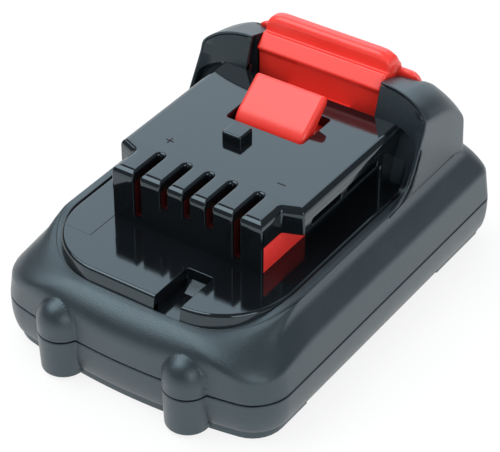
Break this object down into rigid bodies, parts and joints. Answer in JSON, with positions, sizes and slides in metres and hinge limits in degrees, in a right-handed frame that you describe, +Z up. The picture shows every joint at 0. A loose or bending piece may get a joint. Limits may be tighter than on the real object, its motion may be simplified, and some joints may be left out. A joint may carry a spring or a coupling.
{
  "type": "power tool battery pack",
  "caption": "Slide-on battery pack with a two-part housing, a raised rail tower with terminal slots, and a sprung release latch with a locking tongue.",
  "frame": {"origin": "middle of the underside, on the surface that the feet stand on", "axes": "+X to the right seen from the terminals, +Y from the terminals towards the latch, +Z up"},
  "size_m": [0.0666, 0.0925, 0.0466],
  "materials": {
    "housing": "satin",
    "deck": "gloss",
    "red": "semi-gloss",
    "spring": "bright wire",
    "contact": "tinned",
    "board": "solder mask",
    "chip": "moulded",
    "resistor": "fired",
    "ceramic": "glazed",
    "can": "nickel plated",
    "sleeve": "shrink film",
    "insulator": "paper",
    "frame": "moulded",
    "nickel": "rolled",
    "red_lead": "satin",
    "black_lead": "satin",
    "white_lead": "satin",
    "yellow_lead": "satin",
    "foam": "open cell",
    "screw": "zinc plated"
  },
  "bodies": {
    "pack": {"lower_housing": "housing", "upper_housing": "housing", "rail_deck": "deck", "latch_spring_left": "spring", "latch_spring_right": "spring", "terminal_block": "red", "contact_positive": "contact", "contact_sense_left": "contact", "contact_sense_middle": "contact", "contact_sense_right": "contact", "contact_negative": "contact", "circuit_board": "board", "controller_chip": "chip", "mosfet_left": "chip", "mosfet_right": "chip", "shunt_resistor": "resistor", "fuse": "ceramic", "capacitors": "resistor", "thermistor": "chip", "cell_left": "can", "cell_middle": "can", "cell_right": "can", "sleeve_left": "sleeve", "sleeve_middle": "sleeve", "sleeve_right": "sleeve", "insulator_left": "insulator", "insulator_middle": "insulator", "insulator_right": "insulator", "cell_frame_front": "frame", "cell_frame_rear": "frame", "positive_tab": "nickel", "series_link_front": "nickel", "series_link_rear": "nickel", "negative_tab": "nickel", "positive_lead": "red_lead", "negative_lead": "black_lead", "sense_lead_front": "white_lead", "sense_lead_rear": "yellow_lead", "foam_pad_left": "foam", "foam_pad_right": "foam", "housing_screws": "screw"},
    "latch": {"release_latch": "red"}
  },
  "joints": [
    {"name": "latch_press", "type": "slide", "parent": "pack", "child": "latch", "axis": [0, 0, 1], "range_m": [-0.0045, 0], "stiffness_N_per_m": 600, "springref_m": 0.005, "deforming": ["latch_spring_left", "latch_spring_right"]}
  ]
}
